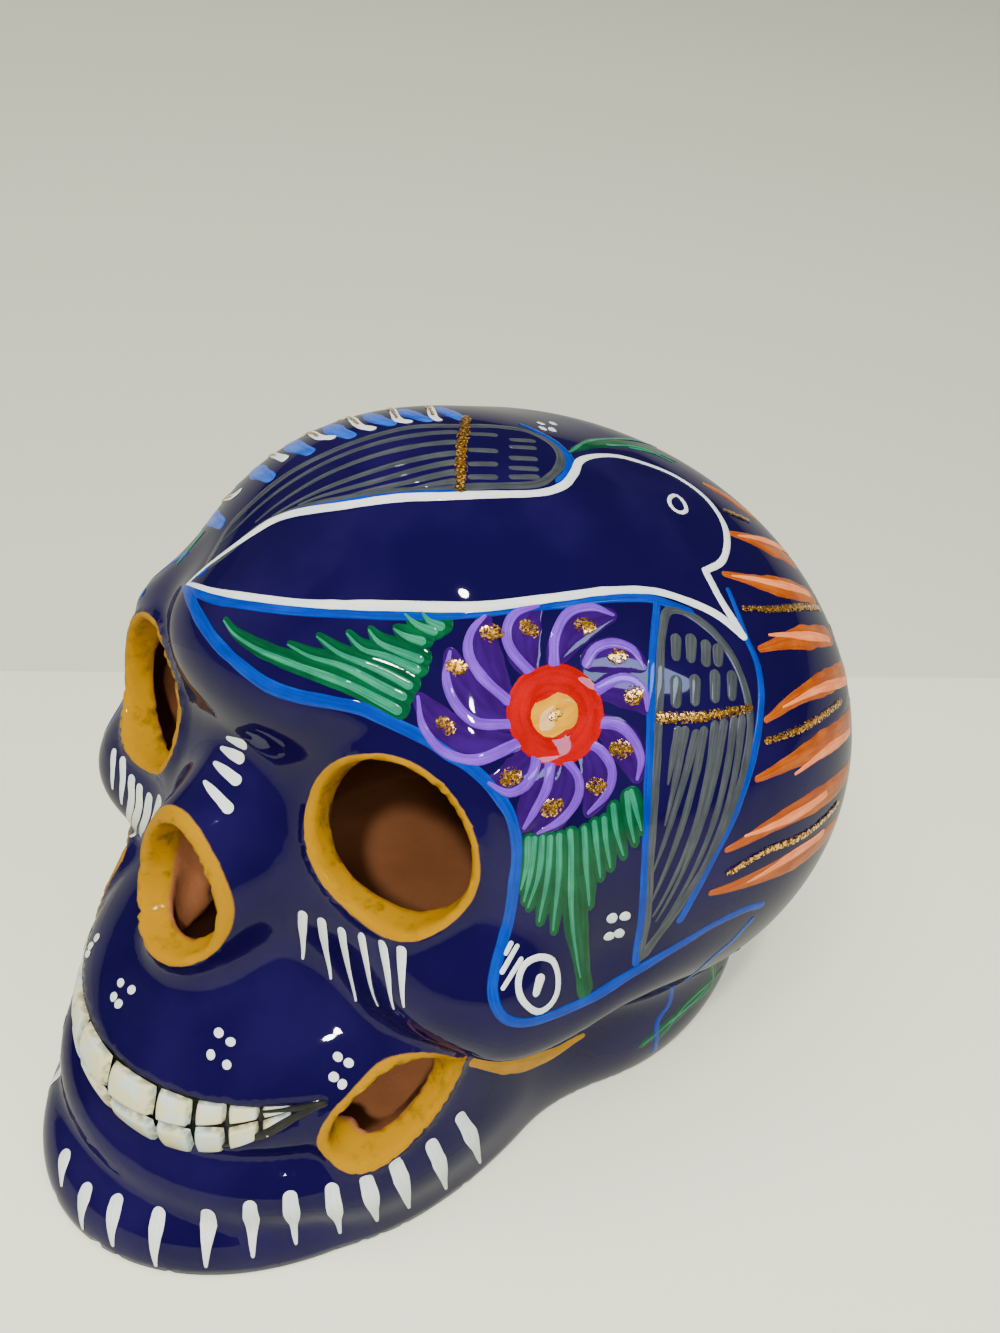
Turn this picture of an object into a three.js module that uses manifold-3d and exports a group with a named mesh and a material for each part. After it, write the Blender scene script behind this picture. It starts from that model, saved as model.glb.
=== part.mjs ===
// A painted sugar skull, slip-cast in clay as one hollow piece.
// Millimetres, +Z up, face toward -Y, the skull's own left side toward +X, standing on z = 0.
import * as THREE from 'three';
import { mergeVertices } from 'three/addons/utils/BufferGeometryUtils.js';
import Module from 'manifold-3d';

const wasm = await Module();
wasm.setup();

// Driving sizes of the casting.
const WALL = 4.2;                 // clay thickness of the shell
const FLOOR = 5.5;                // clay thickness of the flat underside
const HEART = [0, -18, 48];       // every point of the skin can be seen from here

const MIDDLE_TO_ORIGIN = 12.8;    // moves the finished casting back so the origin is under its middle

// The skin is a soft union of rounded forms. A form off the middle plane stands on both sides.
// Each has its centre, its half sizes, its pitch and yaw in degrees, and how softly it blends.
const FORMS = [
  { name: 'braincase', at: [0, 6.5, 58], half: [69, 63, 55.5], pitch: -5, yaw: 0, blend: 0 },
  { name: 'forehead', at: [0, -16, 78.5], half: [42, 36, 38], pitch: 0, yaw: 0, blend: 12 },
  { name: 'glabella', at: [0, -47, 87], half: [22, 12, 10], pitch: 0, yaw: 0, blend: 9 },
  { name: 'brow', at: [25, -36, 80], half: [18, 11.5, 9], pitch: 0, yaw: -24, blend: 9 },
  { name: 'temple', at: [42, -38, 62], half: [8, 12.5, 18], pitch: -5, yaw: -30, blend: 9 },
  { name: 'face', at: [0, -30, 50.5], half: [44, 31, 32], pitch: 0, yaw: 0, blend: 8 },
  { name: 'nose', at: [0, -62.3, 51], half: [11.9, 10.3, 20.5], pitch: -12, yaw: 0, blend: 7 },
  { name: 'upper jaw', at: [0, -50, 32.5], half: [35.5, 34, 12.5], pitch: 14, yaw: 0, blend: 8 },
  { name: 'cheek', at: [38, -44, 48], half: [16, 14, 12], pitch: 0, yaw: 20, blend: 8 },
  { name: 'cheek arch', at: [48.5, -11, 45.5], half: [11.5, 39.5, 9], pitch: 6.5, yaw: -2.5, blend: 6 },
  { name: 'tooth block', at: [0, -49, 23], half: [36, 36.5, 20], pitch: 0, yaw: 0, blend: 2 },
  { name: 'lower lip', at: [0, -47.5, 12], ring: [35.5, 35.5], roll: 6, flatten: 1, blend: 2 },
  { name: 'chin flange', at: [0, -44, 1.5], ring: [34.5, 45.5], roll: 5.7, flatten: 0.75, blend: 3 },
  { name: 'jaw', at: [34, -34, 15], half: [10, 33, 26], pitch: 8, yaw: -2, blend: 6.5 },
  { name: 'skull base', at: [0, 8, 12.5], half: [54.5, 52.5, 37], pitch: 2, yaw: 0, blend: 7 },
  { name: 'jaw floor', at: [0, -40, 1], half: [34, 46, 15], pitch: 0, yaw: 0, blend: 3 },
];

// Openings, each an outline cut straight in along its own axis: yaw turns that axis to the side
// and pitch lifts it. half: half width and half height over the rounded clay edge, turned by
// tilt. rim: radius of that edge. inner: share of the cut's size left at the hollow.
const EYE = { at: [29.3, -52.3, 70], yaw: 15.9, pitch: 12.8, half: [14.5, 14.3], tilt: 0, rim: 1.5,
  inner: 0.94 };
const NOSE = { at: [0, -70, 55.9], yaw: 0, pitch: 0, half: [12, 13], tilt: 0, rim: 2.1, inner: 0.75 };
const NOSE_PEAR = 0.2;            // share by which the nose opening widens downward
const JAW_SLOT = { at: [36.8, -58.9, 27.7], yaw: 63.8, pitch: 0, half: [13.5, 7.3], tilt: 32, rim: 1.5,
  inner: 0.76 };
const RIM_SUNK = 0.5;             // the middle of the rounded edge lies this far under the skin
const RIM_BLEND = 2;
const RIM_NEAR_SKIN = 5;          // points further than this from the skin have no rim
const RIM_NEAR_CREST = 6;         // nor have points further than this from its crest
const RIM_SEARCH = 1.6;           // share of an opening's size searched for its crest
const CUT_OUTWARD = 14;           // an opening's cut reaches this far out of its centre
const CUT_INWARD = 22;            // and this far in
const THROAT = 5;                 // depth at which an opening is at its narrowest
const BASE_HOLE = { at: [0, 31], half: [20, 14] };

// The grin: upper and lower lip lines as z over x, and the tooth rows between them.
const LIP_UPPER = { z: 29.2, curve: 0.0004 };
const LIP_LOWER = { z: 17, curve: 0.0125 };
const ROW_SHARE = 0.5;            // height share of the lower row of teeth
const TOOTH_SETBACK = 1.2;        // teeth stand this far behind the lips
const TOOTH_EDGES = [0, 16.5, 27, 35.5, 44, 52];   // degrees round the tooth arch, each side
const GROOVE = { width: 1.5, depth: 0.9 };
const ROW_GAP = 1;                // height of the gap between the two rows of teeth
const MOUTH_STEPS = 28;           // corners along each lip line
const MOUTH_BEHIND = 6;           // the mouth's cut starts this far in front of the arch's middle
const MOUTH_REACH = 45;           // and runs this far forward, clear of the lips
const OUTSIDE = 3;                // a groove's cutter stands this far out of the teeth

// Mesh fineness: how far an edge may leave the surface and how long it may be.
const SKIN_MESH = { maxError: 0.28, edge: 14, detail: 8, rounds: 5 };
const HOLLOW_MESH = { maxError: 0.8, edge: 26, detail: 5, rounds: 3 };
const RIM_EDGE = 3.4;              // longest edge on a rim
const SWAP_PASSES = 3;
const LEAST_SPREAD = 1e-5;        // a face must span at least this much as seen from the heart
const LEAST_GAIN = 0.02;          // a diagonal is swapped only for corners better by this cosine
const NEAR_RIM = 3;               // edges are kept short within this distance of a rim's crest

const degrees = Math.PI / 180;
const MIRROR_SOFTNESS = 1;        // rounds the crease where mirrored forms meet

function softUnion(a, b, blend) {
  if (blend === 0) return Math.min(a, b);
  const h = Math.max(blend - Math.abs(a - b), 0) / blend;
  return Math.min(a, b) - h * h * blend * 0.25;
}

function turned(a, b, angle) {
  const c = Math.cos(angle * degrees);
  const s = Math.sin(angle * degrees);
  return [a * c + b * s, -a * s + b * c];
}

// Near-distance to one form's surface, negative inside.
function formDistance(form, px, py, pz) {
  const mirrored = form.at[0] === 0 ? px : Math.hypot(px, MIRROR_SOFTNESS);
  let x = mirrored - form.at[0];
  let y = py - form.at[1];
  let z = pz - form.at[2];
  if (form.ring) {
    const [rx, ry] = form.ring;
    const k = Math.hypot(x / rx, y / ry);
    const slope = Math.max(Math.hypot(x / rx / rx, y / ry / ry), 1e-9);
    return Math.hypot(k * (k - 1) / slope, z * form.flatten) - form.roll;
  }
  [x, y] = turned(x, y, form.yaw);
  [y, z] = turned(y, z, form.pitch);
  const [rx, ry, rz] = form.half;
  const k = Math.hypot(x / rx, y / ry, z / rz);
  const slope = Math.max(Math.hypot(x / rx / rx, y / ry / ry, z / rz / rz), 1e-9);
  return k * (k - 1) / slope;
}

const bareSkin = (x, y, z) => FORMS
  .reduce((d, form) => softUnion(d, formDistance(form, x, y, z), form.blend), Infinity);

// The frame of an opening: its outward axis and its across and up directions.
function openingFrame(opening, side = 1) {
  const yaw = opening.yaw * degrees;
  const pitch = opening.pitch * degrees;
  const out = new THREE.Vector3(side * Math.sin(yaw) * Math.cos(pitch), -Math.cos(yaw) * Math.cos(pitch),
    Math.sin(pitch));
  const across = new THREE.Vector3(side * Math.cos(yaw), Math.sin(yaw), 0);
  const up = new THREE.Vector3().crossVectors(out, across).multiplyScalar(side);
  const at = new THREE.Vector3(side * opening.at[0], opening.at[1], opening.at[2]);
  return { at, out, across, up };
}

// The outlines are closed curves in the opening's own plane.
function ovalOutline([halfWidth, halfHeight], angle) {
  return [halfWidth * Math.cos(angle), halfHeight * Math.sin(angle)];
}

// A pear: narrow at the top and widest below the middle.
function pearOutline([halfWidth, halfHeight], angle) {
  const swell = 1 - NOSE_PEAR * Math.sin(angle);
  return [halfWidth * swell * Math.cos(angle), halfHeight * Math.sin(angle)];
}

// How far a point lies from the crest of an opening's rim, measured in the opening's plane.
function rimOffset({ opening, frame, crest }, x, y, z) {
  const dx = x - frame.at.x;
  const dy = y - frame.at.y;
  const dz = z - frame.at.z;
  const depth = dx * frame.out.x + dy * frame.out.y + dz * frame.out.z;
  const u = dx * frame.across.x + dy * frame.across.y + dz * frame.across.z;
  const v = dx * frame.up.x + dy * frame.up.y + dz * frame.up.z;
  const reach = Math.max(...opening.half) * RIM_SEARCH;
  if (Math.abs(depth) > CUT_OUTWARD || Math.hypot(u, v) > reach) return Infinity;
  let best = Infinity;
  for (let i = 0; i < crest.length; i += 1) {
    const [ax, ay] = crest[i];
    const [bx, by] = crest[(i + 1) % crest.length];
    const share = ((u - ax) * (bx - ax) + (v - ay) * (by - ay)) / ((bx - ax) ** 2 + (by - ay) ** 2);
    const t = Math.min(1, Math.max(0, share));
    best = Math.min(best, Math.hypot(u - ax - t * (bx - ax), v - ay - t * (by - ay)));
  }
  return best;
}

const OUTLINE_STEPS = 32;
function outlinePoints(opening, shape) {
  const half = opening.half.map((size) => size - opening.rim);
  const angles = Array.from({ length: OUTLINE_STEPS }, (_, i) => (i / OUTLINE_STEPS) * 2 * Math.PI);
  return angles.map((angle) => {
    const [u, v] = shape(half, angle);
    return turned(u, v, -opening.tilt);
  });
}

const OPENINGS = [
  { opening: EYE, shape: ovalOutline, side: 1 },
  { opening: EYE, shape: ovalOutline, side: -1 },
  { opening: NOSE, shape: pearOutline, side: 1 },
  { opening: JAW_SLOT, shape: ovalOutline, side: 1 },
  { opening: JAW_SLOT, shape: ovalOutline, side: -1 },
].map(({ opening, shape, side }) => ({
  opening,
  frame: openingFrame(opening, side),
  crest: outlinePoints(opening, shape),
}));

function skin(x, y, z) {
  const bare = bareSkin(x, y, z);
  if (Math.abs(bare) > RIM_NEAR_SKIN) return bare;
  return OPENINGS.reduce((d, place) => {
    const offset = rimOffset(place, x, y, z);
    if (offset > RIM_NEAR_CREST) return d;
    return softUnion(d, Math.hypot(bare + RIM_SUNK, offset) - place.opening.rim, RIM_BLEND);
  }, bare);
}

// The point of the surface field = level on the ray from the heart through a direction.
const FAR = 130;
const STEP_SHARE = 0.6;           // share of the near-distance taken as one step inward
const LEAST_STEP = 0.25;
const HALVINGS = 22;
function castOut(field, level, direction) {
  const [hx, hy, hz] = HEART;
  const value = (t) => field(hx + direction.x * t, hy + direction.y * t, hz + direction.z * t) - level;
  let outside = FAR;
  let inside = FAR;
  while (inside > 1) {
    const gap = value(inside);
    if (gap < 0) break;
    outside = inside;
    inside -= Math.max(gap * STEP_SHARE, LEAST_STEP);
  }
  for (let i = 0; i < HALVINGS; i += 1) {
    const middle = (inside + outside) / 2;
    if (value(middle) < 0) inside = middle;
    else outside = middle;
  }
  return direction.clone().multiplyScalar((inside + outside) / 2).add(new THREE.Vector3(...HEART));
}

// A closed mesh of a star-shaped surface: an icosphere cast onto it, then edges split wherever
// they leave the surface or are too long, with diagonals swapped after each round.
function starMesh({ field, level, maxError, edgeLimit, detail, rounds }) {
  const start = new THREE.IcosahedronGeometry(1, detail);
  start.deleteAttribute('normal');
  start.deleteAttribute('uv');
  const sphere = mergeVertices(start, 1e-5);
  const heart = new THREE.Vector3(...HEART);
  const position = sphere.getAttribute('position');
  const points = Array.from({ length: position.count }, (_, i) => castOut(field, level,
    new THREE.Vector3().fromBufferAttribute(position, i).normalize()));
  const index = sphere.getIndex().array;
  let faces = Array.from({ length: index.length / 3 }, (_, i) => [...index.slice(3 * i, 3 * i + 3)]);
  const settled = new Set();
  for (let round = 0; round < rounds; round += 1) {
    const middles = new Map();
    const middleOf = (a, b) => {
      const key = edgeKey(a, b);
      if (middles.has(key)) return middles.get(key);
      if (settled.has(key)) return -1;
      const middle = points[a].clone().add(points[b]).multiplyScalar(0.5);
      const error = Math.abs(field(middle.x, middle.y, middle.z) - level);
      if (error < maxError && points[a].distanceTo(points[b]) < edgeLimit(middle)) {
        settled.add(key);
        return -1;
      }
      points.push(castOut(field, level, middle.sub(heart).normalize()));
      middles.set(key, points.length - 1);
      return points.length - 1;
    };
    faces = faces.flatMap((face) => splitFace(points, face, middleOf));
    for (let pass = 0; pass < SWAP_PASSES; pass += 1) swapDiagonals(points, faces, heart);
  }
  return { points, faces };
}

const edgeKey = (a, b) => (a < b ? `${a}_${b}` : `${b}_${a}`);

function splitFace(points, corners, middleOf) {
  const middles = corners.map((corner, i) => middleOf(corner, corners[(i + 1) % 3]));
  const split = middles.filter((m) => m >= 0).length;
  if (split === 0) return [corners];
  const [a, b, c] = corners;
  if (split === 3) {
    const [ab, bc, ca] = middles;
    return [[a, ab, ca], [ab, b, bc], [ca, bc, c], [ab, bc, ca]];
  }
  let turn = middles.findIndex((m) => m >= 0);
  if (split === 2) turn = (middles.findIndex((m) => m < 0) + 1) % 3;
  const [p, q, r] = [corners[turn], corners[(turn + 1) % 3], corners[(turn + 2) % 3]];
  const pq = middles[turn];
  if (split === 1) return [[p, pq, r], [pq, q, r]];
  const qr = middles[(turn + 1) % 3];
  if (points[p].distanceTo(points[qr]) < points[pq].distanceTo(points[r])) {
    return [[pq, q, qr], [p, pq, qr], [p, qr, r]];
  }
  return [[pq, q, qr], [p, pq, r], [pq, qr, r]];
}

// The sharpest corner of a triangle, as a cosine, so that lower is better.
function sharpness(a, b, c) {
  const [ab, bc, ca] = [a.distanceTo(b), b.distanceTo(c), c.distanceTo(a)];
  const cosine = (opposite, x, y) => (x * x + y * y - opposite * opposite) / (2 * x * y);
  return Math.max(cosine(ab, bc, ca), cosine(bc, ca, ab), cosine(ca, ab, bc));
}

// Swaps the edge shared by two faces where that gives better corners and stays on the same side.
function swapDiagonals(points, faces, heart) {
  const owners = new Map();
  faces.forEach(([a, b, c], f) => {
    for (const [p, q, r] of [[a, b, c], [b, c, a], [c, a, b]]) {
      const key = edgeKey(p, q);
      owners.set(key, [...(owners.get(key) ?? []), { f, p, q, r }]);
    }
  });
  const touched = new Set();
  const facesOut = (p, q, r) => {
    const [u, v, w] = [p, q, r].map((i) => points[i].clone().sub(heart));
    const scale = u.length() * v.length() * w.length();
    return u.dot(v.cross(w)) / scale > LEAST_SPREAD;
  };
  for (const [one, two] of owners.values()) {
    if (touched.has(one.f) || touched.has(two.f)) continue;
    const [p, q, r, s] = [one.p, one.q, one.r, two.r];
    if (owners.has(edgeKey(r, s))) continue;
    const worst = (...faceList) => Math.max(...faceList.map((f) => sharpness(...f.map((i) => points[i]))));
    if (worst([s, q, r], [p, s, r]) > worst([p, q, r], [q, p, s]) - LEAST_GAIN) continue;
    if (!facesOut(s, q, r) || !facesOut(p, s, r)) continue;
    faces[one.f] = [s, q, r];
    faces[two.f] = [p, s, r];
    touched.add(one.f).add(two.f);
  }
}

function solidOfMesh({ points, faces }) {
  return new wasm.Manifold(new wasm.Mesh({
    numProp: 3,
    vertProperties: new Float32Array(points.flatMap((p) => [p.x, p.y, p.z])),
    triVerts: new Uint32Array(faces.flat()),
  }));
}

function solidOfGeometry(geometry) {
  const plain = geometry.clone();
  plain.deleteAttribute('normal');
  plain.deleteAttribute('uv');
  const merged = mergeVertices(plain, 1e-4);
  return new wasm.Manifold(new wasm.Mesh({
    numProp: 3,
    vertProperties: new Float32Array(merged.getAttribute('position').array),
    triVerts: new Uint32Array(merged.getIndex().array),
  }));
}

// A plug through an opening: straight outside the skin, narrowing from there to its throat.
function plug({ opening, frame, crest }) {
  const ring = (scale, along) => crest.map(([u, v]) => frame.at.clone()
    .addScaledVector(frame.across, u * scale)
    .addScaledVector(frame.up, v * scale)
    .addScaledVector(frame.out, along));
  const rings = [ring(1, CUT_OUTWARD), ring(1, 1), ring(opening.inner, -THROAT),
    ring(opening.inner, -CUT_INWARD)];
  const faces = [];
  const n = crest.length;
  for (let level = 0; level + 1 < rings.length; level += 1) {
    for (let i = 0; i < n; i += 1) {
      const [p, q] = [level * n + i, level * n + ((i + 1) % n)];
      faces.push([p, p + n, q], [q, p + n, q + n]);
    }
  }
  const last = (rings.length - 1) * n;
  const flat = crest.map(([u, v]) => new THREE.Vector2(u, v));
  for (const [a, b, c] of THREE.ShapeUtils.triangulateShape(flat, [])) {
    faces.push([a, b, c], [last + c, last + b, last + a]);
  }
  const solid = solidOfMesh({ points: rings.flat(), faces });
  if (solid.volume() > 0) return solid;
  return solidOfMesh({ points: rings.flat(), faces: faces.map(([a, b, c]) => [a, c, b]) });
}

const lipHeight = (lip, x) => lip.z + lip.curve * x * x;
const MOUTH_HALF = Math.sqrt((LIP_UPPER.z - LIP_LOWER.z) / (LIP_LOWER.curve - LIP_UPPER.curve));
const TEETH = FORMS.find((form) => form.name === 'tooth block');

// A slab through the face between the two lip lines, or between any two such heights.
function grinSlab(bottom, top) {
  const turns = Array.from({ length: MOUTH_STEPS + 1 }, (_, i) => (i / MOUTH_STEPS - 0.5) * Math.PI);
  const xs = turns.map((turn) => MOUTH_HALF * Math.sin(turn));
  const outline = new THREE.Shape([
    ...xs.map((x) => new THREE.Vector2(x, bottom(x))),
    ...xs.slice(1, -1).reverse().map((x) => new THREE.Vector2(x, top(x))),
  ]);
  const slab = new THREE.ExtrudeGeometry(outline, { depth: MOUTH_REACH, bevelEnabled: false });
  slab.rotateX(Math.PI / 2);
  slab.translate(0, TEETH.at[1] - MOUTH_BEHIND, 0);
  return solidOfGeometry(slab);
}

const ARCH_STEPS = { round: 72, height: 24 };
function toothArch(setback) {
  const [rx, ry, rz] = TEETH.half.map((half) => half - setback);
  const arch = new THREE.SphereGeometry(1, ARCH_STEPS.round, ARCH_STEPS.height);
  arch.rotateX(Math.PI / 2);
  arch.scale(rx, ry, rz);
  arch.translate(...TEETH.at);
  return solidOfGeometry(arch);
}

// A V groove between two teeth, running up the arch at one angle.
function toothGroove(angle) {
  const [rx, ry] = TEETH.half.map((half) => half - TOOTH_SETBACK);
  const halfWidth = GROOVE.width / GROOVE.depth / 2 * (GROOVE.depth + OUTSIDE);
  const wedge = new THREE.Shape([
    new THREE.Vector2(0, GROOVE.depth),
    new THREE.Vector2(-halfWidth, -OUTSIDE),
    new THREE.Vector2(halfWidth, -OUTSIDE),
  ]);
  const depth = LIP_UPPER.z - LIP_LOWER.z + 2 * OUTSIDE;
  const groove = new THREE.ExtrudeGeometry(wedge, { depth, bevelEnabled: false });
  const out = new THREE.Vector2(Math.sin(angle) / rx, Math.cos(angle) / ry);
  groove.rotateZ(Math.atan2(out.x, out.y));
  groove.translate(rx * Math.sin(angle), TEETH.at[1] - ry * Math.cos(angle), LIP_LOWER.z - OUTSIDE);
  return solidOfGeometry(groove);
}

function grin() {
  const lower = (x) => lipHeight(LIP_LOWER, x);
  const upper = (x) => lipHeight(LIP_UPPER, x);
  const middle = (x) => lower(x) + ROW_SHARE * (upper(x) - lower(x));
  const open = grinSlab(lower, upper);
  let cut = open.subtract(toothArch(TOOTH_SETBACK));
  const gapBottom = (x) => Math.max(middle(x) - ROW_GAP / 2, lower(x));
  const gapTop = (x) => Math.min(middle(x) + ROW_GAP / 2, upper(x));
  const between = grinSlab(gapBottom, gapTop);
  cut = cut.add(between.subtract(toothArch(TOOTH_SETBACK + GROOVE.depth)));
  for (const edge of TOOTH_EDGES) {
    for (const side of edge === 0 ? [1] : [1, -1]) {
      cut = cut.add(toothGroove(side * edge * degrees).intersect(open));
    }
  }
  return cut;
}

// Everything below a height.
const BLOCK = { width: 400, height: 100 };
function blockBelow(z) {
  const geometry = new THREE.BoxGeometry(BLOCK.width, BLOCK.width, BLOCK.height);
  geometry.translate(0, 0, z - BLOCK.height / 2);
  return solidOfGeometry(geometry);
}

const HOLE_STEPS = 40;
function baseHole() {
  const hole = new THREE.CylinderGeometry(1, 1, 4 * FLOOR, HOLE_STEPS);
  hole.rotateX(Math.PI / 2);
  hole.scale(BASE_HOLE.half[0], BASE_HOLE.half[1], 1);
  hole.translate(BASE_HOLE.at[0], BASE_HOLE.at[1], 0);
  return solidOfGeometry(hole);
}

// Edges are kept short on the rims, which a long edge would step over.
function skinEdgeLimit(p) {
  const nearest = Math.min(...OPENINGS.map((opening) => rimOffset(opening, p.x, p.y, p.z)));
  return nearest < NEAR_RIM ? RIM_EDGE : SKIN_MESH.edge;
}

function castSkull() {
  const skinCast = { ...SKIN_MESH, field: skin, level: 0, edgeLimit: skinEdgeLimit };
  const hollowEdge = () => HOLLOW_MESH.edge;
  const hollowCast = { ...HOLLOW_MESH, field: bareSkin, level: -WALL, edgeLimit: hollowEdge };
  const outside = solidOfMesh(starMesh(skinCast));
  const hollow = solidOfMesh(starMesh(hollowCast));
  let skull = outside.subtract(blockBelow(0)).subtract(hollow.subtract(blockBelow(FLOOR)));
  for (const opening of OPENINGS) skull = skull.subtract(plug(opening));
  return skull.subtract(grin()).subtract(baseHole());
}

function geometryOfSolid(solid) {
  const mesh = solid.getMesh();
  const geometry = new THREE.BufferGeometry();
  geometry.setAttribute('position', new THREE.Float32BufferAttribute(mesh.vertProperties, 3));
  geometry.setIndex(new THREE.Uint32BufferAttribute(mesh.triVerts, 1));
  geometry.translate(0, MIDDLE_TO_ORIGIN, 0);
  return geometry;
}

const paintedClay = new THREE.MeshStandardMaterial({ color: '#14125c', roughness: 0.15, metalness: 0 });
const skull = new THREE.Mesh(geometryOfSolid(castSkull()), paintedClay);
skull.name = 'skull';

const part = new THREE.Group();
part.add(skull);
export default part;
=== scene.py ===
# The painted sugar skull: the clay shell, and every brush stroke of its decoration laid on it.
import bmesh
import bpy
import numpy as np
from mathutils import Matrix, Vector


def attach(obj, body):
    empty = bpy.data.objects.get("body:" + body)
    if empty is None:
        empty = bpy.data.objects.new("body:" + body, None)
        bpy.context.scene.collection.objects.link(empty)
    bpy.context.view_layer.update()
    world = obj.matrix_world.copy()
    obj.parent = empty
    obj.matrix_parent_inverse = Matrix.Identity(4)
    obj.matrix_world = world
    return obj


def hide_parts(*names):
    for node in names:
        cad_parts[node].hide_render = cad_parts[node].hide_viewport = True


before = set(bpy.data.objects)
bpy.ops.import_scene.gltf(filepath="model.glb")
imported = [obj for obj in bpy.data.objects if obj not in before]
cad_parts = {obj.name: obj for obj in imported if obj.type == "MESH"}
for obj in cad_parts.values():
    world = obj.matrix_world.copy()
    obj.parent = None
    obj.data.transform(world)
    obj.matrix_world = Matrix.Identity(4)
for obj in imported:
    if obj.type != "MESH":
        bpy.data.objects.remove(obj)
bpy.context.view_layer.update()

# Sizes are millimetres in the casting's own drawing: face toward -Y, skull's left toward +X, table
# at z = 0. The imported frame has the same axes, in metres, with its origin under the middle.
MM = 0.001
MIDDLE_TO_ORIGIN = np.array([0, 12.8, 0])
CLAY_WALL = 4.2
CLAY_FLOOR = 5.5
SHELL_VOXEL = 1.32
CHANCE = np.random.default_rng(7)
NOT_NEAR = 9.0  # stands for a distance where nothing is near

# The clay form as near-distances, negative inside the clay. The numbers are the casting's own.
# Each form has its centre, half sizes, pitch and yaw in degrees, and the softness of its joint.
# A ring has the half sizes of its path, the radius of its roll, and how flat the roll is.
FORMS = [
    dict(at=(0, 6.5, 58), half=(69, 63, 55.5), pitch=-5),
    dict(at=(0, -16, 78.5), half=(42, 36, 38), blend=12),
    dict(at=(0, -47, 87), half=(22, 12, 10), blend=9),
    dict(at=(25, -36, 80), half=(18, 11.5, 9), yaw=-24, blend=9),
    dict(at=(42, -38, 62), half=(8, 12.5, 18), pitch=-5, yaw=-30, blend=9),
    dict(at=(0, -30, 50.5), half=(44, 31, 32), blend=8),
    dict(at=(0, -62.3, 51), half=(11.9, 10.3, 20.5), pitch=-12, blend=7),
    dict(at=(0, -50, 32.5), half=(35.5, 34, 12.5), pitch=14, blend=8),
    dict(at=(38, -44, 48), half=(16, 14, 12), yaw=20, blend=8),
    dict(at=(48.5, -11, 45.5), half=(11.5, 39.5, 9), pitch=6.5, yaw=-2.5, blend=6),
    dict(at=(0, -49, 23), half=(36, 36.5, 20), blend=2),
    dict(at=(0, -47.5, 12), ring=(35.5, 35.5), roll=6, flatten=1, blend=2),
    dict(at=(0, -44, 1.5), ring=(34.5, 45.5), roll=5.7, flatten=0.75, blend=3),
    dict(at=(34, -34, 15), half=(10, 33, 26), pitch=8, yaw=-2, blend=6.5),
    dict(at=(0, 8, 12.5), half=(54.5, 52.5, 37), pitch=2, blend=7),
    dict(at=(0, -40, 1), half=(34, 46, 15), blend=3),
]
MIRROR_ROUND = 1.0  # rounds the crease where a form meets its mirror twin
TOOTH_BLOCK = FORMS[10]
TOOTH_SETBACK = 1.2
LIPS_BACK = TOOTH_BLOCK["at"][1] - 6  # the mouth is cut only in front of this

# Openings in the shell: the frame they are cut in, their size over the rounded clay edge, the
# radius of that edge, and the share of the size that is left at the end of the throat.
EYE = dict(at=(29.3, -52.3, 70), yaw=15.9, pitch=12.8, half=(14.5, 14.3), rim=1.5, inner=0.94)
NOSE = dict(at=(0, -70, 55.9), half=(12, 13), rim=2.1, inner=0.75, pear=0.2)
JAW_SLOT = dict(at=(36.8, -58.9, 27.7), yaw=63.8, half=(13.5, 7.3), tilt=32, rim=1.5, inner=0.76)
OPENINGS = [EYE, NOSE, JAW_SLOT]
BASE_HOLE = dict(at=(0, 31), half=(20, 14))
CUT_OUTWARD = 14
CUT_INWARD = 22
THROAT = 5  # how deep an opening goes before it is narrowest
# The roll of clay round an opening: how deep its middle lies, and how far it is felt.
RIM = dict(sunk=0.5, reach=6, depth=5, blend=2)
SOFT_CUTS = dict(mouth=0.7, hollow=1.5, opening=1.2, base_hole=1)


def turned(a, b, angle):
    c, s = np.cos(np.radians(angle)), np.sin(np.radians(angle))
    return a * c + b * s, -a * s + b * c


def direction(azimuth, elevation):
    """A direction from two angles in degrees: to the left of straight ahead, and up from level."""
    turn, lift = np.radians([azimuth, elevation])
    return np.array([np.sin(turn) * np.cos(lift), -np.cos(turn) * np.cos(lift), np.sin(lift)])


def soft_union(a, b, blend):
    h = np.maximum(blend - np.abs(a - b), 0) / blend
    return np.minimum(a, b) - h * h * blend * 0.25


def soft_cut(solid, cutter, blend):
    return -soft_union(-solid, cutter, blend)


def ball_distance(x, y, z, half):
    rx, ry, rz = half
    k = np.sqrt((x / rx) ** 2 + (y / ry) ** 2 + (z / rz) ** 2)
    slope = np.sqrt((x / rx**2) ** 2 + (y / ry**2) ** 2 + (z / rz**2) ** 2)
    return k * (k - 1) / np.maximum(slope, 1e-9)


def form_distance(form, p):
    x, y, z = p.T
    if form["at"][0]:
        x = np.hypot(x, MIRROR_ROUND)
    x, y, z = x - form["at"][0], y - form["at"][1], z - form["at"][2]
    if "ring" in form:
        ring = ball_distance(x, y, 0 * z, (*form["ring"], 1))
        return np.hypot(ring, z * form["flatten"]) - form["roll"]
    x, y = turned(x, y, form.get("yaw", 0))
    y, z = turned(y, z, form.get("pitch", 0))
    return ball_distance(x, y, z, form["half"])


def bare_skin(p):
    distance = form_distance(FORMS[0], p)
    for form in FORMS[1:]:
        distance = soft_union(distance, form_distance(form, p), form["blend"])
    return distance


def in_opening(opening, p):
    """Across, up and outward places of points in an opening's own frame, folded to the left side."""
    x, y, z = p.T
    if opening["at"][0]:
        x = np.abs(x)
    yaw = opening.get("yaw", 0)
    out = direction(yaw, opening.get("pitch", 0))
    across = np.array([*turned(1, 0, -yaw), 0])
    q = np.stack([x, y, z], 1) - opening["at"]
    u, v = turned(q @ across, q @ np.cross(out, across), opening.get("tilt", 0))
    return u, v, q @ out


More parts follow.
